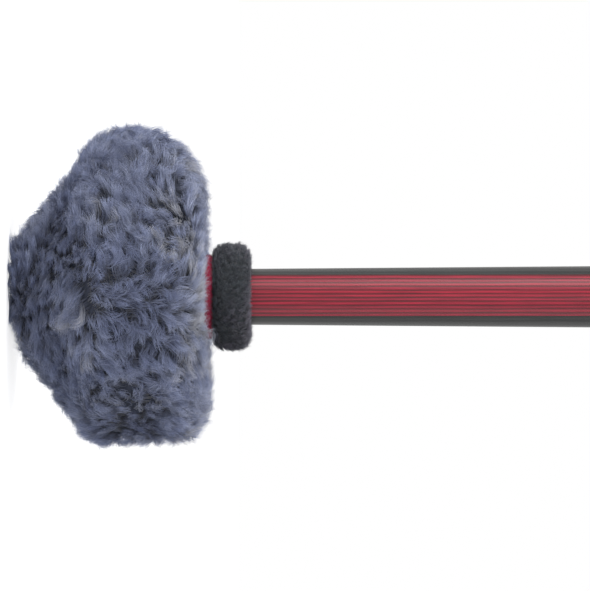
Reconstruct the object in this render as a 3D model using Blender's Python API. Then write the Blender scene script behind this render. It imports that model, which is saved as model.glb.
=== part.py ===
"""Gong mallet: a weighted, padded head under a fleece cover, on a turned shaft of red and dark veneers.

Metres. +Z runs from the nose, which lies on z = 0, along the shaft to the butt. The veneers' glue lines
are square to X. The head swells further to -X than to +X, so each head form blends two side outlines.
"""

import math

import bmesh
import bpy

# Gap between pieces that touch, and between glued veneers
FIT = 0.0003
GLUE_LINE = 0.00006

# Head form, outside the cover's fleece. The flat that it stands on reaches further to -X, the high side.
HEAD_DEPTH = 0.079
NOSE_ROUND = 0.005
HIGH_FLAT_RADIUS = 0.0165
HIGH_NOSE_RADIUS = 0.0185
HIGH_RIM_RADIUS = 0.0685
HIGH_CONE_HEIGHT = 0.037
HIGH_FRONT_ROUND = 0.016
HIGH_BACK_ROUND = 0.030
LOW_FLAT_RADIUS = 0.005
LOW_NOSE_RADIUS = 0.0205
LOW_NOSE_RISE = 0.005
LOW_RIM_RADIUS = 0.0595
LOW_CONE_HEIGHT = 0.0325
LOW_FRONT_ROUND = 0.010
LOW_BACK_ROUND = 0.013
LOW_BACK_BULGE = 0.002
COVER_THICKNESS = 0.004

# Core and padding
CORE_RADIUS = 0.027
WEIGHT_WALL = 0.009
FLANGE_THICKNESS = 0.005
PLATE_THICKNESS = 0.007
FELT_THICKNESS = 0.005
SLANT_PADDING = 0.005
REAR_PAD_THICKNESS = 0.013
HUB_NECK_WALL = 0.0033
HUB_PROUD = 0.0005

# Screw and washer that hold the shaft in the hub
SCREW_RADIUS = 0.0025
SCREW_GRIP = 0.020
SCREW_HEAD_RADIUS = 0.0048
SCREW_HEAD_HEIGHT = 0.0022
SOCKET_RADIUS = 0.0022
SOCKET_DEPTH = 0.0012
WASHER_RADIUS = 0.0085
WASHER_THICKNESS = 0.0012

# Cord that gathers the cover's hem
CORD_DIAMETER = 0.0018
CORD_GAP = 0.0005
CORD_TURNS = 1.25

# Shaft
MALLET_LENGTH = 0.375
TENON_RADIUS = 0.008
NECK_RADIUS = 0.01134
GRIP_RADIUS = 0.01305
GRIP_TO_BUTT = 0.075
BUTT_RADIUS = 0.0124
BUTT_ROUND = 0.006
VENEER_COUNT = 11
VENEER_PITCH = 0.00153

# Neck trim
RED_WASHER_RADIUS = 0.017
RED_WASHER_THICKNESS = 0.0036
RED_WASHER_ROUND = 0.0008
COLLAR_RADIUS = 0.0213
COLLAR_LENGTH = 0.0143
COLLAR_ROUND = 0.0045
COLLAR_FLEECE = 0.0025

# Facets
TURNED_SIDES = 48
HEAD_SIDES = 40
ARC_STEPS = 4
GRIP_STEPS = 6
LEAST_ROUND = 0.0005

# Places worked out from the sizes above
HEM_RADIUS = NECK_RADIUS + HUB_NECK_WALL + CORD_DIAMETER + 2 * FIT
CUP_RADIUS = CORE_RADIUS + FIT + FELT_THICKNESS
HUB_END = HEAD_DEPTH + HUB_PROUD
REAR_PAD_FRONT = HEAD_DEPTH - COVER_THICKNESS - FIT - REAR_PAD_THICKNESS
FLANGE_BACK = REAR_PAD_FRONT - FIT
FLANGE_FRONT = FLANGE_BACK - FLANGE_THICKNESS
SHOULDER = HUB_END + FIT
COLLAR_FRONT = SHOULDER + RED_WASHER_THICKNESS + FIT
RED_HALF = VENEER_COUNT * VENEER_PITCH / 2


def clear_scene():
    for obj in list(bpy.data.objects):
        bpy.data.objects.remove(obj)


def material(name, colour, roughness, metallic=0.0):
    made = bpy.data.materials.new(name)
    made.use_nodes = True
    shader = made.node_tree.nodes["Principled BSDF"]
    shader.inputs["Base Color"].default_value = (*colour, 1.0)
    shader.inputs["Roughness"].default_value = roughness
    shader.inputs["Metallic"].default_value = metallic
    return made


def finish_object(name, mesh, finish, z=0.0):
    """The named object at height z, shaded smooth except at its edges."""
    mesh.materials.append(finish)
    mesh.shade_smooth()
    mesh.set_sharp_from_angle(angle=math.radians(35))
    obj = bpy.data.objects.new(name, mesh)
    obj.location.z = z
    obj.parent = mallet
    bpy.context.scene.collection.objects.link(obj)
    return obj


def mesh_of(name, shape):
    """Closes the bmesh into a mesh with its faces pointing out."""
    bmesh.ops.remove_doubles(shape, verts=shape.verts, dist=1e-7)
    bmesh.ops.recalc_face_normals(shape, faces=shape.faces)
    mesh = bpy.data.meshes.new(name)
    shape.to_mesh(mesh)
    shape.free()
    return mesh


def as_cutter(obj):
    obj.hide_render = True
    obj.display_type = "WIRE"
    return obj


def keep_inside(obj, form):
    """Leaves only what the object shares with the form."""
    modifier = obj.modifiers.new("keep inside", "BOOLEAN")
    modifier.operation = "INTERSECT"
    modifier.solver = "EXACT"
    modifier.object = form


def cut_away(obj, form):
    modifier = obj.modifiers.new("cut away", "BOOLEAN")
    modifier.operation = "DIFFERENCE"
    modifier.solver = "EXACT"
    modifier.object = form


def rounded(corners, steps=ARC_STEPS):
    """The (radius, height) outline through corners (radius, height, rounding), with an arc of
    the same number of points at each rounded corner. Arcs that meet on a short side shrink."""
    reach = [0.0] * len(corners)
    turns = [0.0] * len(corners)
    for i in range(1, len(corners) - 1):
        (r0, z0, _), (r1, z1, rounding), (r2, z2, _) = corners[i - 1 : i + 2]
        before = math.atan2(z1 - z0, r1 - r0)
        after = math.atan2(z2 - z1, r2 - r1)
        turns[i] = (after - before + math.pi) % (2 * math.pi) - math.pi
        reach[i] = rounding * math.tan(abs(turns[i]) / 2)
    room = [1.0] * len(corners)
    for i in range(len(corners) - 1):
        side = math.dist(corners[i][:2], corners[i + 1][:2])
        wanted = reach[i] + reach[i + 1]
        share = min(1.0, 0.98 * side / wanted) if wanted else 1.0
        room[i] = min(room[i], share)
        room[i + 1] = min(room[i + 1], share)
    outline = []
    for i, (r1, z1, rounding) in enumerate(corners):
        if not rounding:
            outline.append((r1, z1))
            continue
        r0, z0, _ = corners[i - 1]
        heading = math.atan2(z1 - z0, r1 - r0)
        start = room[i] * reach[i]
        left = math.copysign(room[i] * rounding, turns[i])
        r = r1 - start * math.cos(heading)
        z = z1 - start * math.sin(heading)
        centre_r = r - left * math.sin(heading)
        centre_z = z + left * math.cos(heading)
        for step in range(steps + 1):
            turned_to = heading + turns[i] * step / steps
            outline.append(
                (
                    centre_r + left * math.sin(turned_to),
                    centre_z - left * math.cos(turned_to),
                )
            )
    return outline


def turned_mesh(name, outline, sides=TURNED_SIDES):
    """Spins the outline round Z. It closes on itself, or starts and ends on the axis."""
    shape = bmesh.new()
    verts = [shape.verts.new((r, 0.0, z)) for r, z in outline]
    edges = [shape.edges.new(pair) for pair in zip(verts, verts[1:])]
    if outline[0][0] > 0.0:
        edges.append(shape.edges.new((verts[-1], verts[0])))
    bmesh.ops.spin(
        shape,
        geom=verts + edges,
        cent=(0.0, 0.0, 0.0),
        axis=(0.0, 0.0, 1.0),
        angle=2 * math.pi,
        steps=sides,
        use_merge=True,
    )
    return mesh_of(name, shape)


def turned(name, outline, finish, z=0.0, sides=TURNED_SIDES):
    return finish_object(name, turned_mesh(name, outline, sides), finish, z)


def moved_inward(corners, inset):
    """The corners of an outline whose sides all lie inset further in. Its ends keep their radius."""
    (r0, z0, _), (r9, z9, _) = corners[0], corners[-1]
    moved = [(r0, z0 + inset, 0.0)]
    for before, (r, z, rounding), after in zip(corners, corners[1:], corners[2:]):
        heading_in = math.atan2(z - before[1], r - before[0])
        heading_out = math.atan2(after[1] - z, after[0] - r)
        middle = (heading_in + heading_out + math.pi) / 2
        shift = inset / math.cos((heading_out - heading_in) / 2)
        if rounding:
            rounding = max(rounding - inset, LEAST_ROUND)
        moved.append(
            (r + shift * math.cos(middle), z + shift * math.sin(middle), rounding)
        )
    return moved + [(r9, z9 - inset, 0.0)]


def high_outline(inset):
    """The head form at -X, from the nose's middle to the hem, moved inward by inset."""
    corners = [
        (0.0, 0.0, 0.0),
        (HIGH_FLAT_RADIUS, 0.0, 0.0),
        (HIGH_NOSE_RADIUS, 0.0, NOSE_ROUND),
        (HIGH_RIM_RADIUS, HIGH_CONE_HEIGHT, HIGH_FRONT_ROUND),
        (HIGH_RIM_RADIUS, HEAD_DEPTH, HIGH_BACK_ROUND),
        (HEM_RADIUS, HEAD_DEPTH, 0.0),
    ]
    return rounded(moved_inward(corners, inset))


def low_outline(inset):
    """The head form at +X, where the nose draws back and the rear bulges."""
    corners = [
        (0.0, 0.0, 0.0),
        (LOW_FLAT_RADIUS, 0.0, 0.0),
        (LOW_NOSE_RADIUS, LOW_NOSE_RISE, NOSE_ROUND),
        (LOW_RIM_RADIUS, LOW_CONE_HEIGHT, LOW_FRONT_ROUND),
        (LOW_RIM_RADIUS, HEAD_DEPTH + LOW_BACK_BULGE, LOW_BACK_ROUND),
        (HEM_RADIUS, HEAD_DEPTH, 0.0),
    ]
    return rounded(moved_inward(corners, inset))


def head_outline(inset, angle):
    """The head form's outline at an angle from +X, blended between its two sides."""
    share = (1 + math.cos(angle)) / 2
    return [
        (share * r1 + (1 - share) * r0, share * z1 + (1 - share) * z0)
        for (r0, z0), (r1, z1) in zip(high_outline(inset), low_outline(inset))
    ]


def height_at(outline, radius):
    """The height at which the outline first reaches this radius."""
    for (r0, z0), (r1, z1) in zip(outline, outline[1:]):
        if r0 <= radius < r1:
            return z0 + (z1 - z0) * (radius - r0) / (r1 - r0)
    return outline[-1][1]


def lofted_mesh(name, outline_at):
    """Joins the outlines at HEAD_SIDES angles round Z. Each starts and ends on the axis."""
    shape = bmesh.new()
    angles = [2 * math.pi * i / HEAD_SIDES for i in range(HEAD_SIDES)]
    columns = [
        [
            shape.verts.new((r * math.cos(a), r * math.sin(a), z))
            for r, z in outline_at(a)
        ]
        for a in angles
    ]
    for this, after in zip(columns, columns[1:] + columns[:1]):
        for i in range(len(this) - 1):
            on_axis = [v for v in (this[i], this[i + 1]) if v.co.xy.length < 1e-9]
            if len(on_axis) == 2:
                continue
            ring = [this[i], after[i], after[i + 1], this[i + 1]]
            if on_axis:
                ring = [v for v in ring if v.co.xy.length >= 1e-9] + on_axis
            shape.faces.new(ring)
    return mesh_of(name, shape)


def shaft_radius(z):
    """The shaft's radius behind the shoulder: a straight taper, then a grip that draws in."""
    fattest = MALLET_LENGTH - GRIP_TO_BUTT
    if z <= fattest:
        along = (z - SHOULDER) / (fattest - SHOULDER)
        return NECK_RADIUS + (GRIP_RADIUS - NECK_RADIUS) * along
    past = (z - fattest) / GRIP_TO_BUTT
    return GRIP_RADIUS - (GRIP_RADIUS - BUTT_RADIUS) * past**2


def make_shaft():
    """Cuts each veneer of the glued blank to the form that the lathe leaves."""
    pilot_radius = SCREW_RADIUS + FIT
    round_start = MALLET_LENGTH - BUTT_ROUND
    fattest = MALLET_LENGTH - GRIP_TO_BUTT
    corners = [
        (0.0, HUB_FRONT + SCREW_GRIP + FIT, 0.0),
        (pilot_radius, HUB_FRONT + SCREW_GRIP + FIT, 0.0),
        (pilot_radius, HUB_FRONT, 0.0),
        (TENON_RADIUS, HUB_FRONT, 0.0),
        (TENON_RADIUS, SHOULDER, 0.0),
        (NECK_RADIUS, SHOULDER, 0.0),
    ]
    for step in range(GRIP_STEPS + 1):
        z = fattest + (round_start - fattest) * step / GRIP_STEPS
        corners.append((shaft_radius(z), z, 0.0))
    corners.append((shaft_radius(round_start), MALLET_LENGTH, BUTT_ROUND))
    corners.append((0.0, MALLET_LENGTH, 0.0))
    form = as_cutter(turned("lathe_form", rounded(corners), dark_wood))
    reach = max(GRIP_RADIUS, NECK_RADIUS, BUTT_RADIUS) + 0.005
    red_names = [f"red_veneer_{i + 1:02d}" for i in range(VENEER_COUNT)]
    edges = [VENEER_PITCH * i - RED_HALF for i in range(VENEER_COUNT + 1)]
    layers = [("dark_cheek_high", -reach, -RED_HALF, dark_wood)]
    layers += [
        (name, start, end, red_wood)
        for name, start, end in zip(red_names, edges, edges[1:])
    ]
    layers.append(("dark_cheek_low", RED_HALF, reach, dark_wood))
    for name, start, end, finish in layers:
        blank = bmesh.new()
        bmesh.ops.create_cube(blank, size=1.0)
        low = HUB_FRONT - 0.005
        high = MALLET_LENGTH + 0.005
        bmesh.ops.scale(
            blank, verts=blank.verts, vec=(end - start - GLUE_LINE, 2 * reach, high - low)
        )
        bmesh.ops.translate(
            blank, verts=blank.verts, vec=((start + end) / 2, 0.0, (low + high) / 2)
        )
        keep_inside(finish_object(name, mesh_of(name, blank), finish), form)


def make_core():
    """The hub on the tenon, the weight round it, and the plate, washer and screw in front."""
    neck = NECK_RADIUS + HUB_NECK_WALL
    barrel = CORE_RADIUS - WEIGHT_WALL - FIT
    bore = TENON_RADIUS + FIT
    flange_at = FLANGE_FRONT - HUB_FRONT
    hub_outline = [
        (bore, 0.0),
        (barrel, 0.0),
        (barrel, flange_at),
        (CORE_RADIUS, flange_at),
        (CORE_RADIUS, flange_at + FLANGE_THICKNESS),
        (neck, flange_at + FLANGE_THICKNESS),
        (neck, HUB_END - HUB_FRONT),
        (bore, HUB_END - HUB_FRONT),
    ]
    turned("hub", hub_outline, hub_wood, HUB_FRONT)
    weight_edge = 0.0012
    weight_inner = CORE_RADIUS - WEIGHT_WALL
    weight_length = FLANGE_FRONT - FIT - HUB_FRONT
    weight_outline = rounded(
        [
            (weight_inner, 0.0, 0.0),
            (CORE_RADIUS, 0.0, weight_edge),
            (CORE_RADIUS, weight_length, weight_edge),
            (weight_inner, weight_length, 0.0),
        ],
        steps=1,
    )
    turned("weight_ring", weight_outline, steel, HUB_FRONT)

    screw_hole = SCREW_RADIUS + FIT
    recess_radius = max(WASHER_RADIUS, SCREW_HEAD_RADIUS) + FIT
    recess_depth = 2 * FIT + WASHER_THICKNESS + SCREW_HEAD_HEIGHT
    plate_outline = [
        (screw_hole, recess_depth),
        (recess_radius, recess_depth),
        (recess_radius, 0.0),
        (CORE_RADIUS, 0.0),
        (CORE_RADIUS, PLATE_THICKNESS),
        (screw_hole, PLATE_THICKNESS),
    ]
    turned("front_plate", plate_outline, hub_wood, PLATE_FRONT)
    washer_front = PLATE_FRONT + recess_depth - FIT - WASHER_THICKNESS
    washer_outline = [
        (screw_hole, 0.0),
        (WASHER_RADIUS, 0.0),
        (WASHER_RADIUS, WASHER_THICKNESS),
        (screw_hole, WASHER_THICKNESS),
    ]
    turned("retaining_washer", washer_outline, screw_steel, washer_front)
    head_front = washer_front - FIT - SCREW_HEAD_HEIGHT
    tip = HUB_FRONT + SCREW_GRIP - head_front
    point = 2 * SCREW_RADIUS
    screw_outline = rounded(
        [
            (0.0, 0.0, 0.0),
            (SCREW_HEAD_RADIUS, 0.0, SCREW_HEAD_HEIGHT / 2),
            (SCREW_HEAD_RADIUS, SCREW_HEAD_HEIGHT, 0.0),
            (SCREW_RADIUS, SCREW_HEAD_HEIGHT, 0.0),
            (SCREW_RADIUS, tip - point, 0.0),
            (0.0, tip, 0.0),
        ],
        steps=3,
    )
    screw = turned("retaining_screw", screw_outline, screw_steel, head_front, 24)
    clear = 0.001
    socket_outline = [
        (0.0, -clear),
        (SOCKET_RADIUS, -clear),
        (SOCKET_RADIUS, SOCKET_DEPTH),
        (0.0, SOCKET_DEPTH),
    ]
    socket = turned("hex_socket", socket_outline, screw_steel, head_front, sides=6)
    cut_away(screw, as_cutter(socket))


def make_padding():
    """The felt cup on the core, and the nose, side and rear pads that fill the cover."""
    depth = FLANGE_BACK - CUP_FRONT
    cup_outline = rounded(
        [
            (0.0, 0.0, 0.0),
            (CUP_RADIUS, 0.0, FELT_THICKNESS / 2),
            (CUP_RADIUS, depth, 0.0),
            (CORE_RADIUS + FIT, depth, 0.0),
            (CORE_RADIUS + FIT, FELT_THICKNESS, 0.0),
            (0.0, FELT_THICKNESS, 0.0),
        ],
        steps=3,
    )
    turned("inner_felt_cup", cup_outline, hard_felt, CUP_FRONT)

    inset = COVER_THICKNESS + FIT
    outside = 2 * max(HIGH_RIM_RADIUS, LOW_RIM_RADIUS)
    beyond = 0.01
    side_bore = CUP_RADIUS + FIT
    zones = [
        (
            "nose_pad",
            [
                (0.0, -beyond),
                (outside, -beyond),
                (outside, NOSE_PAD_BACK),
                (0.0, NOSE_PAD_BACK),
            ],
        ),
        (
            "side_padding",
            [
                (side_bore, CUP_FRONT),
                (outside, CUP_FRONT),
                (outside, FLANGE_BACK),
                (side_bore, FLANGE_BACK),
            ],
        ),
        (
            "rear_pad",
            [
                (HEM_RADIUS, REAR_PAD_FRONT),
                (outside, REAR_PAD_FRONT),
                (outside, HEAD_DEPTH + beyond),
                (HEM_RADIUS, HEAD_DEPTH + beyond),
            ],
        ),
    ]

    def filling(angle):
        return head_outline(inset, angle) + [(0.0, HEAD_DEPTH - inset)]

    for name, zone in zones:
        pad = finish_object(name, lofted_mesh(name, filling), padding)
        cutter = turned(name + "_zone", zone, padding, sides=HEAD_SIDES)
        keep_inside(pad, as_cutter(cutter))


def make_cover():
    """The fleece cover: outer and inner head forms, joined at the gathered hem."""

    def both_faces(angle):
        return head_outline(0.0, angle) + head_outline(COVER_THICKNESS, angle)[::-1]

    mesh = lofted_mesh("fur_cover", both_faces)
    finish_object("fur_cover", mesh, fleece)


def make_draw_cord():
    """One tube wound round the hub's neck inside the hem."""
    radius = CORD_DIAMETER / 2
    ring = NECK_RADIUS + HUB_NECK_WALL + FIT + radius
    pitch = CORD_DIAMETER + CORD_GAP
    top = HUB_END - radius
    steps = round(CORD_TURNS * 24)
    points = []
    for step in range(steps + 1):
        turn = CORD_TURNS * step / steps
        angle = 2 * math.pi * turn
        z = top - pitch * (CORD_TURNS - turn)
        points.append((ring * math.cos(angle), ring * math.sin(angle), z))
    gaps = [
        math.dist(a, b) - CORD_DIAMETER
        for i, a in enumerate(points)
        for b in points[i + 12 :]
    ]
    print(f"draw_cord: least gap to itself {min(gaps) * 1000:.2f} mm")
    curve = bpy.data.curves.new("draw_cord", "CURVE")
    curve.dimensions = "3D"
    curve.bevel_depth = radius
    curve.bevel_resolution = 1
    curve.use_fill_caps = True
    spline = curve.splines.new("POLY")
    spline.points.add(len(points) - 1)
    for target, point in zip(spline.points, points):
        target.co = (*point, 1.0)
    curve.materials.append(cord)
    obj = bpy.data.objects.new("draw_cord", curve)
    obj.parent = mallet
    bpy.context.scene.collection.objects.link(obj)


def make_neck_trim():
    """The red felt washer against the hub, and the collar behind it, all on the tapered shaft."""

    def bore_at(z):
        return shaft_radius(z) + FIT

    washer_back = SHOULDER + RED_WASHER_THICKNESS
    washer_outline = rounded(
        [
            (bore_at(SHOULDER), 0.0, 0.0),
            (RED_WASHER_RADIUS, 0.0, RED_WASHER_ROUND),
            (RED_WASHER_RADIUS, RED_WASHER_THICKNESS, RED_WASHER_ROUND),
            (bore_at(washer_back), RED_WASHER_THICKNESS, 0.0),
        ],
        steps=1,
    )
    turned("red_felt_washer", washer_outline, red_felt, SHOULDER)

    back = COLLAR_FRONT + COLLAR_LENGTH
    lining = COLLAR_RADIUS - COLLAR_FLEECE
    sleeve_outline = rounded(
        [
            (bore_at(COLLAR_FRONT), 0.0, 0.0),
            (COLLAR_RADIUS, 0.0, COLLAR_ROUND),
            (COLLAR_RADIUS, COLLAR_LENGTH, COLLAR_ROUND),
            (bore_at(back), COLLAR_LENGTH, 0.0),
            (bore_at(back), COLLAR_LENGTH - COLLAR_FLEECE, 0.0),
            (lining, COLLAR_LENGTH - COLLAR_FLEECE, 0.0),
            (lining, COLLAR_FLEECE, 0.0),
            (bore_at(COLLAR_FRONT), COLLAR_FLEECE, 0.0),
        ]
    )
    turned("collar_sleeve", sleeve_outline, collar_fleece, COLLAR_FRONT)
    ring_front = COLLAR_FRONT + COLLAR_FLEECE + FIT
    ring_length = COLLAR_LENGTH - 2 * (COLLAR_FLEECE + FIT)
    ring_outline = [
        (bore_at(ring_front), 0.0),
        (lining - FIT, 0.0),
        (lining - FIT, ring_length),
        (bore_at(ring_front + ring_length), ring_length),
    ]
    turned("collar_ring", ring_outline, rubber, ring_front)


# The nose pad ends where the cone is wide enough for the cup and the padding round it.
NOSE_PAD_BACK = max(
    height_at(side_outline(COVER_THICKNESS + FIT), CUP_RADIUS + SLANT_PADDING)
    for side_outline in (high_outline, low_outline)
)
CUP_FRONT = NOSE_PAD_BACK + FIT
PLATE_FRONT = CUP_FRONT + FELT_THICKNESS + FIT
HUB_FRONT = PLATE_FRONT + PLATE_THICKNESS + FIT

clear_scene()
mallet = bpy.data.objects.new("mallet", None)
bpy.context.scene.collection.objects.link(mallet)

red_wood = material("red_wood", (0.33, 0.025, 0.045), 0.35)
dark_wood = material("dark_wood", (0.05, 0.053, 0.055), 0.4)
hub_wood = material("hub_wood", (0.52, 0.34, 0.18), 0.6)
steel = material("steel", (0.42, 0.43, 0.44), 0.35, 1.0)
screw_steel = material("screw_steel", (0.55, 0.55, 0.52), 0.3, 1.0)
hard_felt = material("hard_felt", (0.55, 0.53, 0.48), 0.95)
padding = material("padding", (0.72, 0.7, 0.64), 0.95)
fleece = material("fleece", (0.105, 0.13, 0.215), 0.95)
cord = material("cord", (0.06, 0.065, 0.08), 0.8)
red_felt = material("red_felt", (0.28, 0.012, 0.045), 0.9)
collar_fleece = material("collar_fleece", (0.035, 0.044, 0.058), 0.95)
rubber = material("rubber", (0.02, 0.02, 0.022), 0.7)

make_shaft()
make_core()
make_padding()
make_cover()
make_draw_cord()
make_neck_trim()
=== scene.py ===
"""Looks of the gong mallet: a clumped fleece head, a felt washer, a fleece collar and a lacquered shaft.

Metres, in the solids' own frame: +Z runs from the nose to the butt, and the veneers are square to X.
"""

import math
import random
from collections import namedtuple

import bpy
import numpy as np
from mathutils import Matrix, Vector


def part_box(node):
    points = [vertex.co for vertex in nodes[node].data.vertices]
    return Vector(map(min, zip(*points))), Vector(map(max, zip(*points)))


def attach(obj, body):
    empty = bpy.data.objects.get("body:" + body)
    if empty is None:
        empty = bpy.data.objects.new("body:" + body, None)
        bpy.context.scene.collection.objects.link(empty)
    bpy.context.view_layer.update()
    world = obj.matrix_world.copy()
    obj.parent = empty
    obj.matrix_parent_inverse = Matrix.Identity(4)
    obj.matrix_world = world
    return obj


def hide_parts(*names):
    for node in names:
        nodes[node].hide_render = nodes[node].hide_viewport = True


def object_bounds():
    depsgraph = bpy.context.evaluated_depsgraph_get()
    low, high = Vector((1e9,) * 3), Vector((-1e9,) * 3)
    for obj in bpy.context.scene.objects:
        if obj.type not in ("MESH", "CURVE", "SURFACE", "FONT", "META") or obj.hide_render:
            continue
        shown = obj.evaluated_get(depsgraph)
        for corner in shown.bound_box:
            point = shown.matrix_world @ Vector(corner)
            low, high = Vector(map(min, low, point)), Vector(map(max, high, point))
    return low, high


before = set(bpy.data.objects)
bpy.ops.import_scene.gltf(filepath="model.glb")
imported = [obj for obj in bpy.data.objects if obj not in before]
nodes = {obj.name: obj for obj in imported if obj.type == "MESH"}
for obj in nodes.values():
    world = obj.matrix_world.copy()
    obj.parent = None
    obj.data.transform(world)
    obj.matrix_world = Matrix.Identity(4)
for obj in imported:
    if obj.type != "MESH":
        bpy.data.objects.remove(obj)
cad_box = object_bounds()
random.seed(7)
dice = np.random.default_rng(7)

# Photograph and camera
PHOTO_WIDTH = 590
PHOTO_HEIGHT = 591
PIXEL = 0.00041
NOSE_PIXEL = 10
AXIS_PIXEL = 296.8
CAMERA_DISTANCE = 1.5
CAMERA_TURN = math.radians(3.85)
SENSOR = 36.0

# Studio: each lamp's name, place, width and watts
LAMPS = [
    ("key", (-0.9, -0.7, 0.35), 0.5, 8.0),
    ("front", (0.2, -1.3, 0.5), 0.6, 3.0),
    ("fill", (1.0, -0.5, 0.3), 0.6, 2.5),
    ("top", (0.1, 0.3, 1.4), 0.7, 7.0),
]
LAMP_AIM = Vector((0.0, 0.0, 0.10))
AMBIENT = 0.42
FLOOR_SIZE = 12.0
FLOOR_WHITE = 0.85
FLOOR_LIFT = 0.72

# Head form: the solid cover's sizes, with the high outline at -X and the low one at +X
HEAD_DEPTH = 0.079
NOSE_ROUND = 0.005
HIGH_FLAT_RADIUS = 0.0165
HIGH_NOSE_RADIUS = 0.0185
HIGH_RIM_RADIUS = 0.0685
HIGH_CONE_HEIGHT = 0.037
HIGH_FRONT_ROUND = 0.016
HIGH_BACK_ROUND = 0.030
LOW_FLAT_RADIUS = 0.005
LOW_NOSE_RADIUS = 0.0205
LOW_NOSE_RISE = 0.005
LOW_RIM_RADIUS = 0.0595
LOW_CONE_HEIGHT = 0.0325
LOW_FRONT_ROUND = 0.010
LOW_BACK_ROUND = 0.013
LOW_BACK_BULGE = 0.002

# Corners of the two outlines, each a radius, a height and a rounding
HIGH_CORNERS = [
    (HIGH_FLAT_RADIUS, 0.0, 0.0),
    (HIGH_NOSE_RADIUS, 0.0, NOSE_ROUND),
    (HIGH_RIM_RADIUS, HIGH_CONE_HEIGHT, HIGH_FRONT_ROUND),
    (HIGH_RIM_RADIUS, HEAD_DEPTH, HIGH_BACK_ROUND),
]
LOW_CORNERS = [
    (LOW_FLAT_RADIUS, 0.0, 0.0),
    (LOW_NOSE_RADIUS, LOW_NOSE_RISE, NOSE_ROUND),
    (LOW_RIM_RADIUS, LOW_CONE_HEIGHT, LOW_FRONT_ROUND),
    (LOW_RIM_RADIUS, HEAD_DEPTH + LOW_BACK_BULGE, LOW_BACK_ROUND),
]

# How the visible form is fitted inside the solid cover
HEM_RADIUS = 0.017
RIM_FROM_RADIUS = 0.03
REAR_FROM_HEIGHT = 0.06
AXIS_OPENING = 0.0008
HEM_REACH = 0.001

# Rounded outlines: the share of a side that an arc may take, and more for the large soft arcs
ARC_STEPS = 14
ARC_SHARE = 0.49
LARGE_ROUND = 0.012
LARGE_ROUND_EXTRA = 1.4
OUTLINE_POINTS = 400
OUTLINE_STEP = 0.01

# Fleece and felt, as locks of fibres
Coat = namedtuple("Coat", "spacing fibres length lean spread seed radius sectors")
HEAD_COAT = Coat(
    spacing=0.0033, fibres=32, length=0.0078, lean=math.radians(61), spread=0.0025,
    seed=11, radius=0.00012, sectors=20,
)
COLLAR_COAT = Coat(
    spacing=0.0013, fibres=10, length=0.0026, lean=math.radians(56), spread=0.0010,
    seed=31, radius=0.00007, sectors=3,
)
WASHER_COAT = Coat(
    spacing=0.0012, fibres=4, length=0.0009, lean=math.radians(60), spread=0.0006,
    seed=51, radius=0.00005, sectors=1,
)
BACKING_INSET = 0.0030
COLLAR_INSET = 0.0006
COLLAR_ROUND = 0.0058
WASHER_INSET = 0.0001
WASHER_ROUND = 0.0008
FLOOR_CLEARANCE = 0.0003

# How locks are set out
LOCK_JITTER = 0.8
ROW_START_SPAN = 6.0
FEWEST_IN_ROW = 3

# How a lock bends: the wander of its heading, its size, its curl and how its fibres draw together
SWIRL = 1.5
SWIRL_SCALE = 95.0
HEADING_SCATTER = 0.45
LOCK_SIZE = (0.75, 0.5)
FIBRE_SIZE = (0.75, 0.4)
LOCK_CURL = 0.45
CURL_BEND = 2.6
DRAW_TOGETHER = 0.58
FRIZZ = 0.10
LEAN_SCATTER = 0.10
RISE_BEND = 0.35
LEAN_BEND = 0.45
PATH_POINTS = 5

# Tone of the locks and fibres, from 0, dark, to 1, light
MIDDLE_TONE = 0.5
TONE_DRIFT = 0.16
TONE_DRIFT_SCALE = 160.0
LOCK_TONE_SCATTER = 0.12
FIBRE_TONE_SCATTER = 0.07

# Smooth wandering fields
FIELD_WAVES = 6
FIELD_PHASES = 6.28
FIELD_SPAN = 2.4

# Fibre tubes and their map
FIBRE_SIDES = 3
FIBRE_TAPER = 0.6
FIBRE_ASIDE = np.array([0.31, 0.52, 0.79])
MAP_WIDTH = 0.03
MAP_BASE = 0.3

# Way that the head's fleece is combed, and the painted rim light that turns its rear greyer and lighter
COMB_HEADING = 0.9
REAR_COMB_TURN = 0.5
REAR_COMB_START = 0.045
REAR_COMB_DEPTH = 0.03
REAR_RIM_LIGHT = 0.35
REAR_RIM_LIGHT_START = 0.058
REAR_RIM_LIGHT_DEPTH = 0.02

# Way that the collar's fleece is combed, and its tone from front to rear
COLLAR_COMB = 1.2
COLLAR_FRONT_TONE = -0.12
COLLAR_TONE_RISE = 0.3

# Shaft, and the bore of what sits on it
NECK_RADIUS = 0.01134
TENON_RADIUS = 0.008
GRIP_RADIUS = 0.01305
BUTT_RADIUS = 0.0124
BUTT_ROUND = 0.006
GRIP_TO_BUTT = 0.075
VENEER_PITCH = 0.00153
LAYER_WAVER = VENEER_PITCH * 0.55
RED_DRIFT = (0.85, 1.15)
RED_POINTS_ACROSS = 8
DARK_POINTS_ACROSS = 24
SHAFT_RINGS = 70
BUTT_STEPS = 12
THINNEST_LAYER = 0.00012
BORE_CLEARANCE = 0.0006
BORE_TAPER = 0.0002
SHARP_ANGLE = math.radians(35)

# Colours
# The fleece's lightest stop, a grey, is reached mostly by the rear locks' painted rim light.
FLEECE_TONES = [
    (0.0, (0.10, 0.122, 0.21)),
    (0.45, (0.21, 0.25, 0.42)),
    (0.8, (0.36, 0.41, 0.60)),
    (1.0, (0.50, 0.51, 0.57)),
]
COLLAR_TONES = [
    (0.0, (0.030, 0.045, 0.058)),
    (0.5, (0.062, 0.075, 0.10)),
    (0.8, (0.11, 0.10, 0.145)),
    (1.0, (0.26, 0.25, 0.31)),
]
WASHER_TONES = [(0.0, (0.24, 0.008, 0.035)), (1.0, (0.55, 0.03, 0.10))]
RED_WOOD = ((0.045, 0.003, 0.006), (0.21, 0.006, 0.018), (0.36, 0.014, 0.038))
DARK_WOOD = ((0.010, 0.011, 0.011), (0.019, 0.020, 0.020), (0.034, 0.035, 0.034))

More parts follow.
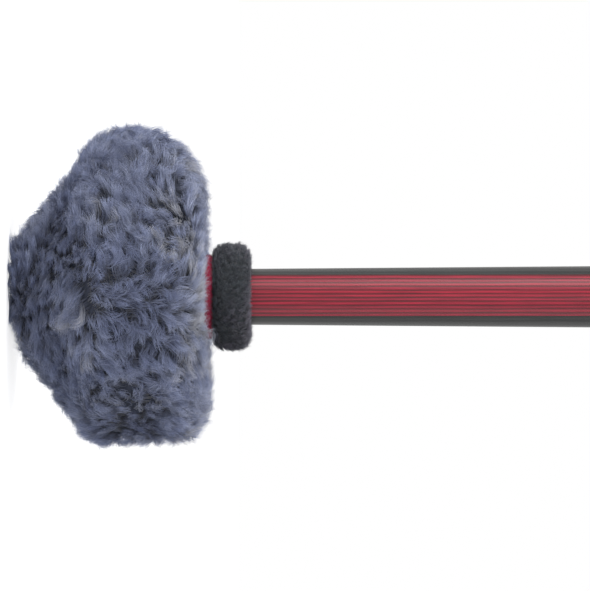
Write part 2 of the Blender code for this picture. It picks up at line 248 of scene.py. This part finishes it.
COLLAR_LOW, COLLAR_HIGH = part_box("collar_sleeve")
WASHER_LOW, WASHER_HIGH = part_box("red_felt_washer")
BUTT = cad_box[1][2]
SHOULDER = WASHER_LOW.z


def link(name, mesh, finish, replaced):
    """Puts a mesh in the scene as a piece that rides on the mallet and stands for the replaced nodes."""
    piece = bpy.data.objects.new(name, mesh)
    bpy.context.scene.collection.objects.link(piece)
    mesh.materials.append(finish)
    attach(piece, "root")
    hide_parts(*replaced)
    return piece


def new_material(name):
    """A new material, its node tree and its shader."""
    made = bpy.data.materials.new(name)
    made.use_nodes = True
    return made, made.node_tree, made.node_tree.nodes["Principled BSDF"]


def ramp(tree, source, stops):
    """The source's colour on a ramp through stops, each a place and a colour."""
    node = tree.nodes.new("ShaderNodeValToRGB")
    elements = node.color_ramp.elements
    while len(elements) < len(stops):
        elements.new(0.5)
    for element, (place, colour) in zip(elements, stops):
        element.position = place
        element.color = (*colour, 1.0)
    tree.links.new(source, node.inputs["Fac"])
    return node.outputs["Color"]


def grey(level):
    return (level, level, level)


def noise(tree, stretch, scale, detail=4.0):
    """Noise in the object's own metres, stretched by the three factors."""
    place = tree.nodes.new("ShaderNodeTexCoord")
    mapping = tree.nodes.new("ShaderNodeMapping")
    mapping.inputs["Scale"].default_value = stretch
    made = tree.nodes.new("ShaderNodeTexNoise")
    made.inputs["Scale"].default_value = scale
    made.inputs["Detail"].default_value = detail
    tree.links.new(place.outputs["Object"], mapping.inputs["Vector"])
    tree.links.new(mapping.outputs["Vector"], made.inputs["Vector"])
    return made.outputs["Fac"]


def multiply(tree, first, second):
    """The product of two colours."""
    node = tree.nodes.new("ShaderNodeMix")
    node.data_type = "RGBA"
    node.blend_type = "MULTIPLY"
    node.inputs["Factor"].default_value = 1.0
    tree.links.new(first, node.inputs["A"])
    tree.links.new(second, node.inputs["B"])
    return node.outputs["Result"]


def math_node(tree, operation, *values):
    """A Math node whose inputs are sockets or plain numbers."""
    node = tree.nodes.new("ShaderNodeMath")
    node.operation = operation
    for socket, value in zip(node.inputs, values):
        if isinstance(value, float):
            socket.default_value = value
        else:
            tree.links.new(value, socket)
    return node.outputs[0]


def between(tree, source, low, high):
    """Maps a source of 0 to 1 onto low to high, which may run downwards."""
    node = tree.nodes.new("ShaderNodeMapRange")
    node.inputs["To Min"].default_value = low
    node.inputs["To Max"].default_value = high
    tree.links.new(source, node.inputs["Value"])
    return node.outputs["Result"]


def rough_and_bump(tree, shader, grain, rough, depth):
    """Roughness between the two values of rough, and a bump depth metres deep, both from the grain."""
    tree.links.new(between(tree, grain, *rough), shader.inputs["Roughness"])
    bump = tree.nodes.new("ShaderNodeBump")
    bump.inputs["Distance"].default_value = depth
    tree.links.new(grain, bump.inputs["Height"])
    tree.links.new(bump.outputs["Normal"], shader.inputs["Normal"])


def grained(
    name, dark, light, stretch=(1.0, 1.0, 1.0), scale=900.0, rough=(0.8, 0.95), depth=0.0001, metallic=0.0
):
    """A finish that varies between two colours, with its roughness and bump, over one grain."""
    made, tree, shader = new_material(name)
    grain = noise(tree, stretch, scale)
    colour = ramp(tree, grain, [(0.3, dark), (0.7, light)])
    tree.links.new(colour, shader.inputs["Base Color"])
    shader.inputs["Metallic"].default_value = metallic
    rough_and_bump(tree, shader, grain, rough, depth)
    return made


def fibre_material(name, tones, root, tip):
    """Fibres take their hue from U on the fibre map; along V they carry painted shade towards the root
    and a painted highlight towards the tip.
    """
    made, tree, shader = new_material(name)
    place = tree.nodes.new("ShaderNodeUVMap")
    place.uv_map = "OFBake"
    split = tree.nodes.new("ShaderNodeSeparateXYZ")
    tree.links.new(place.outputs["UV"], split.inputs["Vector"])
    hue = ramp(tree, split.outputs["X"], tones)
    # Painted shade darkens each fibre towards its root, down among the locks, and a painted highlight
    # lifts its tip above its hue.
    depth = ramp(tree, split.outputs["Y"], [(0.0, grey(root)), (0.55, grey(0.75)), (1.0, grey(tip))])
    tree.links.new(multiply(tree, hue, depth), shader.inputs["Base Color"])
    rough = between(tree, split.outputs["Y"], low=0.85, high=0.62)
    tree.links.new(rough, shader.inputs["Roughness"])
    shader.inputs["Sheen Weight"].default_value = 0.25
    return made


def wood_material(name, dark, mid, light, number):
    """Layers square to X, wavering along the shaft, under a satin lacquer."""
    made, tree, shader = new_material(name)
    place = tree.nodes.new("ShaderNodeTexCoord")
    split = tree.nodes.new("ShaderNodeSeparateXYZ")
    tree.links.new(place.outputs["Object"], split.inputs["Vector"])
    waver = noise(tree, stretch=(1.0, 0.3, 0.06), scale=260.0 + 7.0 * number, detail=2.0)
    shifted = math_node(tree, "MULTIPLY_ADD", waver, LAYER_WAVER, split.outputs["X"])
    layer = math_node(tree, "DIVIDE", shifted, VENEER_PITCH)
    across_layer = math_node(tree, "FRACT", layer)
    stops = [(0.0, dark), (0.16, mid), (0.5, light), (0.84, mid), (1.0, dark)]
    stripe = ramp(tree, across_layer, stops)
    grain = noise(tree, stretch=(1.0, 1.0, 0.035), scale=1500.0, detail=5.0)
    streak = ramp(tree, grain, [(0.3, grey(0.62)), (0.7, grey(1.25))])
    tree.links.new(multiply(tree, stripe, streak), shader.inputs["Base Color"])
    rough_and_bump(tree, shader, grain, rough=(0.34, 0.5), depth=0.00003)
    shader.inputs["Specular IOR Level"].default_value = 0.3
    shader.inputs["Coat Weight"].default_value = 0.08
    shader.inputs["Coat Roughness"].default_value = 0.3
    return made


def rounded_outline(corners, start, end):
    """The (radius, height) outline from start to end through corners, with an arc at each rounding."""
    path = [start] + list(corners) + [end]
    outline = [start]
    for before, (r1, z1, rounding), after in zip(path, path[1:], path[2:]):
        if not rounding:
            outline.append((r1, z1))
            continue
        heading_in = math.atan2(z1 - before[1], r1 - before[0])
        heading_out = math.atan2(after[1] - z1, after[0] - r1)
        turn = (heading_out - heading_in + math.pi) % (2 * math.pi) - math.pi
        reach = rounding * math.tan(abs(turn) / 2)
        limit = ARC_SHARE * min(math.dist(before[:2], (r1, z1)), math.dist(after[:2], (r1, z1)))
        if rounding > LARGE_ROUND:
            limit = LARGE_ROUND_EXTRA * limit
        share = min(1.0, limit / reach)
        signed = math.copysign(rounding * share, turn)
        r = r1 - share * reach * math.cos(heading_in) - signed * math.sin(heading_in)
        z = z1 - share * reach * math.sin(heading_in) + signed * math.cos(heading_in)
        for step in range(ARC_STEPS + 1):
            heading = heading_in + turn * step / ARC_STEPS
            outline.append((r + signed * math.sin(heading), z - signed * math.cos(heading)))
    outline.append(end)
    return np.array(outline)


def read_outline(outline, places, wanted):
    """The outline's points at the wanted values, where its own points lie at places."""
    return np.stack([np.interp(wanted, places, outline[:, i]) for i in (0, 1)], axis=1)


class Surface:
    """A form round Z, blended by angle between an outline at -X and one at +X."""

    def __init__(self, high, low):
        lengths = [np.hypot(*np.diff(side, axis=0).T) for side in (high, low)]
        along = np.concatenate([[0.0], np.cumsum((lengths[0] + lengths[1]) / 2)])
        wanted = np.linspace(0.0, along[-1], OUTLINE_POINTS)
        self.high = read_outline(high, along, wanted)
        self.low = read_outline(low, along, wanted)
        self.length = along[-1]

    def at(self, angle, share):
        """Points, outward normals and rearward tangents at these angles and shares of the outline."""
        low_weight = ((1 + np.cos(angle)) / 2)[:, None]
        shares = np.arange(OUTLINE_POINTS) / (OUTLINE_POINTS - 1)

        def read(where):
            where = np.clip(where, 0.0, 1.0)
            high = read_outline(self.high, shares, where)
            low = read_outline(self.low, shares, where)
            return low_weight * low + (1 - low_weight) * high

        place = read(share)
        ahead = read(share + OUTLINE_STEP) - read(share - OUTLINE_STEP)
        ahead /= np.linalg.norm(ahead, axis=1)[:, None] + 1e-12
        cos, sin = np.cos(angle), np.sin(angle)
        point = np.stack([place[:, 0] * cos, place[:, 0] * sin, place[:, 1]], axis=1)
        tangent = np.stack([ahead[:, 0] * cos, ahead[:, 0] * sin, ahead[:, 1]], axis=1)
        normal = np.stack([ahead[:, 1] * cos, ahead[:, 1] * sin, -ahead[:, 0]], axis=1)
        return point, normal, tangent

    def scatter(self, spacing):
        """Angles and shares about spacing apart, row by row from the nose."""
        angles, shares = [], []
        rows = int(self.length / spacing)
        for row in range(rows):
            share = (row + 0.5) / rows
            point = int(share * (OUTLINE_POINTS - 1))
            radius = (self.high[point, 0] + self.low[point, 0]) / 2
            number = max(FEWEST_IN_ROW, int(2 * math.pi * radius / spacing))
            steps = np.arange(number) + dice.random(number) * LOCK_JITTER
            angles.append(steps / number * 2 * math.pi + dice.random() * ROW_START_SPAN)
            shares.append(share + (dice.random(number) - 0.5) * LOCK_JITTER / rows)
        return np.concatenate(angles) % (2 * math.pi), np.clip(np.concatenate(shares), 0.0, 1.0)


def write_mesh(name, points, quads, triangles=np.zeros((0, 3), int), uvs=None):
    """A mesh from arrays, quads first. The uvs are one pair for each corner."""
    mesh = bpy.data.meshes.new(name)
    mesh.vertices.add(len(points))
    mesh.vertices.foreach_set("co", points.astype(np.float32).ravel())
    corners = np.concatenate([quads.ravel(), triangles.ravel()]).astype(np.int32)
    mesh.loops.add(len(corners))
    mesh.loops.foreach_set("vertex_index", corners)
    sizes = np.concatenate([np.full(len(quads), 4), np.full(len(triangles), 3)]).astype(np.int32)
    starts = np.concatenate([[0], np.cumsum(sizes)[:-1]]).astype(np.int32)
    mesh.polygons.add(len(sizes))
    mesh.polygons.foreach_set("loop_start", starts)
    if uvs is not None:
        layer = mesh.uv_layers.new(name="OFBake")
        layer.data.foreach_set("uv", uvs.astype(np.float32).ravel())
    mesh.update(calc_edges=True)
    mesh.validate()
    mesh.shade_smooth()
    return mesh


def grid_quads(rings, size):
    """Quads that join rings of size points, each ring closed."""
    return [
        [i * size + k, i * size + (k + 1) % size, (i + 1) * size + (k + 1) % size, (i + 1) * size + k]
        for i in range(rings - 1)
        for k in range(size)
    ]


def form_mesh(name, surface, rings, sides):
    """A grid over the surface, open where the outline starts and ends."""
    angle = np.arange(sides) * 2 * math.pi / sides
    points = [surface.at(angle, np.full(sides, share))[0] for share in np.linspace(0.0, 1.0, rings)]
    return write_mesh(name, np.concatenate(points), np.array(grid_quads(rings, sides))[:, ::-1])


def fibre_faces(rings):
    """One fibre's quads and triangles, each with the (side, ring) of its corners on the fibre map."""
    quads, quad_places, triangles, triangle_places = [], [], [], []
    for i in range(rings - 1):
        here, ahead = FIBRE_SIDES * i, FIBRE_SIDES * (i + 1)
        for k in range(FIBRE_SIDES):
            beside = (k + 1) % FIBRE_SIDES
            quads.append([here + k, here + beside, ahead + beside, ahead + k])
            quad_places.append([[k, i], [k + 1, i], [k + 1, i + 1], [k, i + 1]])
    last = FIBRE_SIDES * (rings - 1)
    tip = FIBRE_SIDES * rings
    for k in range(FIBRE_SIDES):
        triangles.append([last + k, last + (k + 1) % FIBRE_SIDES, tip])
        triangle_places.append([[k, rings - 1], [k + 1, rings - 1], [k + 0.5, rings]])
    triangles.append([2, 1, 0])
    triangle_places.append([[0, 0], [1, 0], [0.5, MAP_BASE]])
    return quads, quad_places, triangles, triangle_places


def fibre_mesh(name, path, radius, tone):
    """Three-sided tapered tubes with closed ends along path, an array of fibres by points by 3."""
    count, rings = path.shape[0], path.shape[1] - 1
    along = np.gradient(path, axis=1)
    along /= np.linalg.norm(along, axis=2)[:, :, None] + 1e-12
    side = np.cross(along, FIBRE_ASIDE)
    side /= np.linalg.norm(side, axis=2)[:, :, None] + 1e-12
    other = np.cross(along, side)
    taper = 1.0 - FIBRE_TAPER * np.linspace(0.0, 1.0, rings)
    ring_points = np.empty((count, rings, FIBRE_SIDES, 3))
    for k in range(FIBRE_SIDES):
        turn = 2 * math.pi * k / FIBRE_SIDES
        offset = math.cos(turn) * side[:, :rings] + math.sin(turn) * other[:, :rings]
        ring_points[:, :, k] = path[:, :rings] + offset * (radius * taper)[None, :, None]
    ring_points = ring_points.reshape(count, rings * FIBRE_SIDES, 3)
    points = np.concatenate([ring_points, path[:, rings:]], axis=1)
    quads, quad_places, triangles, triangle_places = fibre_faces(rings)
    first = (np.arange(count) * points.shape[1])[:, None, None]
    all_quads = (np.array(quads)[None] + first).reshape(-1, 4)
    all_triangles = (np.array(triangles)[None] + first).reshape(-1, 3)

    def on_map(places):
        places = np.array(places, dtype=float)
        start = np.clip(tone, 0.0, 1.0)[:, None, None] * (1 - MAP_WIDTH)
        u = start + places[None, :, :, 0] / FIBRE_SIDES * MAP_WIDTH
        v = np.broadcast_to(places[None, :, :, 1] / rings, u.shape)
        return np.stack([u, v], axis=-1).reshape(-1, 2)

    uvs = np.concatenate([on_map(quad_places), on_map(triangle_places)])
    return write_mesh(name, points.reshape(-1, 3), all_quads, all_triangles, uvs)


def smooth_field(point, seed, scale):
    """A smooth wandering value, mostly between -1 and 1, at each point."""
    chooser = np.random.default_rng(seed)
    total = np.zeros(len(point))
    for _ in range(FIELD_WAVES):
        heading = chooser.normal(size=3)
        total += np.sin(point @ heading * scale + chooser.random() * FIELD_PHASES)
    return total / FIELD_SPAN


def grow(surface, coat, combed):
    """The paths, tones and angles of a coat's fibres. Each lock bends one way, its fibres drawing
    together towards its tip, and combed gives the way that a lock at a root would lie."""
    angle, share = surface.scatter(coat.spacing)
    root, normal, tangent = surface.at(angle, share)
    locks = len(root)
    around = np.cross(normal, tangent)
    swirl = SWIRL * smooth_field(root, coat.seed, SWIRL_SCALE)
    heading = combed(root) + swirl + dice.normal(size=locks) * HEADING_SCATTER
    flow = np.cos(heading)[:, None] * tangent + np.sin(heading)[:, None] * around
    across = np.cross(normal, flow)
    size = coat.length * (LOCK_SIZE[0] + LOCK_SIZE[1] * dice.random(locks))
    drift = TONE_DRIFT * smooth_field(root, coat.seed + 1, TONE_DRIFT_SCALE)
    tone = MIDDLE_TONE + drift + dice.normal(size=locks) * LOCK_TONE_SCATTER
    curl = dice.normal(size=locks) * LOCK_CURL

    lock = np.repeat(np.arange(locks), coat.fibres)
    total = len(lock)
    disc = np.sqrt(dice.random(total)) * coat.spread
    turn = dice.random(total) * 2 * math.pi
    along_flow = np.cos(turn)[:, None] * disc[:, None] * flow[lock]
    offset = along_flow + np.sin(turn)[:, None] * disc[:, None] * across[lock]
    fibre_size = size[lock] * (FIBRE_SIZE[0] + FIBRE_SIZE[1] * dice.random(total))
    frizz = dice.normal(size=(total, 3)) * coat.length * FRIZZ
    tilt = coat.lean + dice.normal(size=total) * LEAN_SCATTER
    path = np.empty((total, PATH_POINTS, 3))
    for i, t in enumerate(np.linspace(0.0, 1.0, PATH_POINTS)):
        up = np.cos(tilt) * ((1 + RISE_BEND) * t - RISE_BEND * t * t)
        out = np.sin(tilt) * ((1 - LEAN_BEND) * t + LEAN_BEND * t * t)
        swing = curl[lock] * math.sin(t * CURL_BEND)
        path[:, i] = (
            root[lock]
            + offset * (1.0 - DRAW_TOGETHER * t)
            + normal[lock] * (fibre_size * up)[:, None]
            + flow[lock] * (fibre_size * out)[:, None]
            + across[lock] * (fibre_size * swing)[:, None]
            + frizz * t * t
        )
    return path, tone[lock] + dice.normal(size=total) * FIBRE_TONE_SCATTER, angle[lock]


def add_fibres(name, path, tone, angle, coat, finish, node):
    """Fibres in pieces, one for each sector round the axis."""
    sector = (angle / (2 * math.pi) * coat.sectors).astype(int) % coat.sectors
    for i in range(coat.sectors):
        chosen = sector == i
        piece_name = f"{name}_{i + 1:02d}"
        mesh = fibre_mesh(piece_name, path[chosen], coat.radius, tone[chosen])
        link(piece_name, mesh, finish, [node])


def head_surface(inset):
    """The head form moved inward: the rim in radius, the front rearward and the rear forward."""

    def moved(corner):
        r, z, rounding = corner
        if r > RIM_FROM_RADIUS:
            r -= inset
        if z < REAR_FROM_HEIGHT:
            z += inset
        else:
            z -= inset
        return r, z, rounding

    start = (AXIS_OPENING, inset)
    end = (HEM_RADIUS - HEM_REACH, HEAD_DEPTH - inset)
    high, low = [
        rounded_outline([moved(corner) for corner in corners], start, end)
        for corners in (HIGH_CORNERS, LOW_CORNERS)
    ]
    return Surface(high, low)


def make_head():
    """A backing painted dark as the shade between the locks, and the locks that grow from it."""
    skin = head_surface(BACKING_INSET)
    # Painted shade: the backing is near black, so the gaps between the locks read as shadow.
    backing = grained("fleece_painted_shade_backing", (0.020, 0.025, 0.042), (0.035, 0.042, 0.068), scale=1500.0)
    mesh = form_mesh("fleece_painted_shade_backing", skin, rings=90, sides=144)
    piece = link("fleece_painted_shade_backing", mesh, backing, ["fur_cover"])

    def combed(root):
        rear = np.clip((root[:, 2] - REAR_COMB_START) / REAR_COMB_DEPTH, 0.0, 1.0)
        return COMB_HEADING - REAR_COMB_TURN * rear

    # Painted shade drops the fleece fibres to a tenth at the root, and a painted highlight lifts their
    # tips.
    finish = fibre_material("fleece_fibres", FLEECE_TONES, root=0.10, tip=1.3)
    path, tone, angle = grow(skin, HEAD_COAT, combed)
    # Painted rim light: locks towards the rear shift to the lighter, greyer end of the fleece tones.
    rear = np.clip((path[:, 0, 2] - REAR_RIM_LIGHT_START) / REAR_RIM_LIGHT_DEPTH, 0.0, 1.0)
    path[:, :, 2] = np.maximum(path[:, :, 2], FLOOR_CLEARANCE + HEAD_COAT.radius)
    add_fibres("fleece", path, tone + REAR_RIM_LIGHT * rear, angle, HEAD_COAT, finish, "fur_cover")


def ring_surface(low, high, rounding, inset):
    """The form of a collar or washer with these lowest and highest corners, from bore to bore."""
    bore = NECK_RADIUS + BORE_CLEARANCE
    radius = high.x - inset
    front, back = low.z + inset, high.z - inset
    corners = [(radius, front, rounding), (radius, back, rounding)]
    outline = rounded_outline(corners, (bore, front), (bore + BORE_TAPER, back))
    return Surface(outline, outline)


def make_collar():
    """A backing painted dark as the shade between the locks, and short locks that get lighter rearward.
    """
    skin = ring_surface(COLLAR_LOW, COLLAR_HIGH, COLLAR_ROUND, COLLAR_INSET)
    # Painted shade: the near-black backing shows as shadow between the short locks.
    backing = grained("collar_painted_shade_backing", (0.012, 0.016, 0.021), (0.028, 0.034, 0.042), scale=1800.0)
    mesh = form_mesh("collar_fleece_painted_shade_backing", skin, rings=60, sides=96)
    link("collar_fleece_painted_shade_backing", mesh, backing, ["collar_sleeve"])
    # Painted shade at the collar fibres' roots and a painted highlight at their tips.
    finish = fibre_material("collar_fibres", COLLAR_TONES, root=0.35, tip=1.25)
    path, tone, angle = grow(skin, COLLAR_COAT, lambda root: COLLAR_COMB * np.ones(len(root)))
    rearward = (path[:, 0, 2] - COLLAR_LOW.z) / (COLLAR_HIGH.z - COLLAR_LOW.z)
    tone = tone + COLLAR_FRONT_TONE + COLLAR_TONE_RISE * rearward
    add_fibres("collar_fleece", path, tone, angle, COLLAR_COAT, finish, "collar_sleeve")


def make_washer():
    """The felt ring, and the short fuzz on it."""
    skin = ring_surface(WASHER_LOW, WASHER_HIGH, WASHER_ROUND, WASHER_INSET)
    felt = grained("red_felt", (0.20, 0.006, 0.03), (0.46, 0.02, 0.075), scale=1400.0, depth=0.0003)
    mesh = form_mesh("red_felt_form", skin, rings=40, sides=128)
    link("red_felt_form", mesh, felt, ["red_felt_washer"])
    # Painted shade at the felt fuzz's roots and a painted highlight at its tips.
    finish = fibre_material("red_felt_fibres", WASHER_TONES, root=0.6, tip=1.1)
    path, tone, angle = grow(skin, WASHER_COAT, lambda root: np.ones(len(root)))
    add_fibres("red_felt_fuzz", path, tone, angle, WASHER_COAT, finish, "red_felt_washer")


def shaft_radius(z):
    """The shaft's radius behind the shoulder: a straight taper, then a grip that draws in."""
    fattest = BUTT - GRIP_TO_BUTT
    if z <= fattest:
        return NECK_RADIUS + (GRIP_RADIUS - NECK_RADIUS) * (z - SHOULDER) / (fattest - SHOULDER)
    return GRIP_RADIUS - (GRIP_RADIUS - BUTT_RADIUS) * ((z - fattest) / GRIP_TO_BUTT) ** 2


def shaft_profile(front):
    """Heights and radii from the tenon's front to the butt's flat face."""
    profile = [(front, TENON_RADIUS), (SHOULDER, TENON_RADIUS)]
    arc_start = BUTT - BUTT_ROUND
    profile += [(z, shaft_radius(z)) for z in np.linspace(SHOULDER, arc_start, SHAFT_RINGS)]
    edge = shaft_radius(arc_start) - BUTT_ROUND
    for step in range(1, BUTT_STEPS + 1):
        turn = math.pi / 2 * step / BUTT_STEPS
        profile.append((arc_start + BUTT_ROUND * math.sin(turn), edge + BUTT_ROUND * math.cos(turn)))
    return profile


def layer_mesh(name, start, end, profile, across):
    """The part of the turned form between the planes x = start and x = end."""
    inner = min(abs(start), abs(end)) if start * end > 0 else 0.0
    rings = []
    for z, r in profile:
        if r <= inner + THINNEST_LAYER:
            continue
        low, high = max(start, -r), min(end, r)
        xs = low + (high - low) * (1 - np.cos(np.linspace(0, math.pi, across))) / 2
        ys = np.sqrt(np.maximum(r * r - xs * xs, 1e-10))
        there = [(x, y, z) for x, y in zip(xs, ys)]
        back = [(x, -y, z) for x, y in zip(xs[::-1], ys[::-1])]
        rings.append(there + back)
    size = len(rings[0])
    quads = grid_quads(len(rings), size)
    last = (len(rings) - 1) * size
    for k in range(across - 1):
        face = [k, k + 1, size - 2 - k, size - 1 - k]
        quads.append(face)
        quads.append([last + corner for corner in reversed(face)])
    mesh = write_mesh(name, np.array(rings).reshape(-1, 3), np.array(quads))
    mesh.flip_normals()
    mesh.set_sharp_from_angle(angle=SHARP_ANGLE)
    return mesh


def make_shaft():
    """Each veneer and cheek as its own layer, the red ones a little unlike each other."""
    names = sorted(n for n in nodes if n.startswith(("red_veneer", "dark_cheek")))
    for number, name in enumerate(names):
        low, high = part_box(name)
        if name.startswith("red"):
            drift = random.uniform(*RED_DRIFT)
            tones = [(red * drift, green, blue) for red, green, blue in RED_WOOD]
            slot, across = "red_wood", RED_POINTS_ACROSS
        else:
            tones = DARK_WOOD
            slot, across = "dark_wood", DARK_POINTS_ACROSS
        finish = wood_material(f"{slot}_{name.split('_')[-1]}", *tones, number)
        mesh = layer_mesh(name + "_wood", low.x, high.x, shaft_profile(low.z), across)
        link(name + "_wood", mesh, finish, [name])


def dress_inner_pieces():
    """Materials of the solids that stay."""
    batting = grained("wool_batting", (0.60, 0.58, 0.52), (0.80, 0.78, 0.72))
    felt = grained("pressed_felt", (0.46, 0.44, 0.40), (0.62, 0.60, 0.55), scale=1400.0)
    wood = grained(
        "bare_hardwood", (0.40, 0.25, 0.12), (0.58, 0.40, 0.22),
        stretch=(1.0, 1.0, 0.05), scale=500.0, rough=(0.5, 0.7),
    )
    steel = grained(
        "turned_steel", (0.36, 0.37, 0.38), (0.46, 0.47, 0.48),
        stretch=(0.2, 0.2, 4.0), scale=700.0, rough=(0.28, 0.42), depth=0.00002, metallic=1.0,
    )
    zinc = grained(
        "zinc_plate", (0.48, 0.48, 0.46), (0.60, 0.60, 0.56),
        scale=600.0, rough=(0.25, 0.38), metallic=1.0,
    )
    braid = grained("braided_cord", (0.045, 0.05, 0.06), (0.08, 0.085, 0.10), scale=2500.0)
    rubber = grained(
        "black_rubber", (0.016, 0.016, 0.018), (0.028, 0.028, 0.030), scale=700.0, rough=(0.6, 0.8)
    )
    finishes = {
        "nose_pad": batting,
        "side_padding": batting,
        "rear_pad": batting,
        "inner_felt_cup": felt,
        "front_plate": wood,
        "hub": wood,
        "weight_ring": steel,
        "retaining_washer": zinc,
        "retaining_screw": zinc,
        "draw_cord": braid,
        "collar_ring": rubber,
    }
    for name, finish in finishes.items():
        nodes[name].data.materials.clear()
        nodes[name].data.materials.append(finish)


def seen_directly(tree):
    """1 for rays from the camera, off gloss and through glass, and 0 for the rest."""
    path = tree.nodes.new("ShaderNodeLightPath")
    seen = path.outputs["Is Camera Ray"]
    for output in ("Is Glossy Ray", "Is Transmission Ray"):
        seen = math_node(tree, "MAXIMUM", seen, path.outputs[output])
    return seen


def make_floor():
    """A pale floor, lifted to white where it is seen, which keeps the shadow."""
    bpy.ops.mesh.primitive_plane_add(size=FLOOR_SIZE)
    floor = bpy.context.object
    floor.name = "floor"
    made, tree, shader = new_material("pale_floor")
    shader.inputs["Base Color"].default_value = (*grey(FLOOR_WHITE), 1.0)
    shader.inputs["Roughness"].default_value = 1.0
    shader.inputs["Specular IOR Level"].default_value = 0.0
    shader.inputs["Emission Color"].default_value = (1.0, 1.0, 1.0, 1.0)
    lift = math_node(tree, "MULTIPLY", seen_directly(tree), FLOOR_LIFT)
    tree.links.new(lift, shader.inputs["Emission Strength"])
    floor.data.materials.append(made)


def make_world():
    """Plain soft light all round, and white where the background is seen."""
    world = bpy.data.worlds.new("studio")
    bpy.context.scene.world = world
    world.use_nodes = True
    tree = world.node_tree
    background = tree.nodes["Background"]
    background.inputs["Color"].default_value = (1.0, 1.0, 1.0, 1.0)
    level = between(tree, seen_directly(tree), AMBIENT, 1.0)
    tree.links.new(level, background.inputs["Strength"])


def add_lamp(name, place, size, watts):
    """A soft square lamp that faces the neck of the mallet."""
    data = bpy.data.lights.new(name, "AREA")
    data.size = size
    data.energy = watts
    lamp = bpy.data.objects.new(name, data)
    lamp.location = place
    lamp.rotation_euler = (LAMP_AIM - Vector(place)).to_track_quat("-Z", "Y").to_euler()
    bpy.context.scene.collection.objects.link(lamp)


def make_camera():
    """Looks along +Y with the shaft running to the right, as the photograph does."""
    data = bpy.data.cameras.new("camera")
    data.sensor_width = SENSOR
    data.lens = SENSOR * CAMERA_DISTANCE / (PHOTO_HEIGHT * PIXEL)
    camera = bpy.data.objects.new("camera", data)
    aim_x = (PHOTO_HEIGHT / 2 - AXIS_PIXEL) * PIXEL
    aim_z = (PHOTO_WIDTH / 2 - NOSE_PIXEL) * PIXEL
    back = Vector((math.sin(CAMERA_TURN), -math.cos(CAMERA_TURN), 0.0))
    right = Vector((0.0, 0.0, 1.0))
    up = back.cross(right)
    turn = Matrix((right, up, back)).transposed().to_4x4()
    place = Vector((aim_x, 0.0, aim_z)) + back * CAMERA_DISTANCE
    camera.matrix_world = Matrix.Translation(place) @ turn
    bpy.context.scene.collection.objects.link(camera)
    bpy.context.scene.camera = camera


make_camera()
make_world()
make_floor()
for lamp_values in LAMPS:
    add_lamp(*lamp_values)
bpy.context.scene.view_settings.view_transform = "Standard"

make_head()
make_collar()
make_washer()
make_shaft()
dress_inner_pieces()
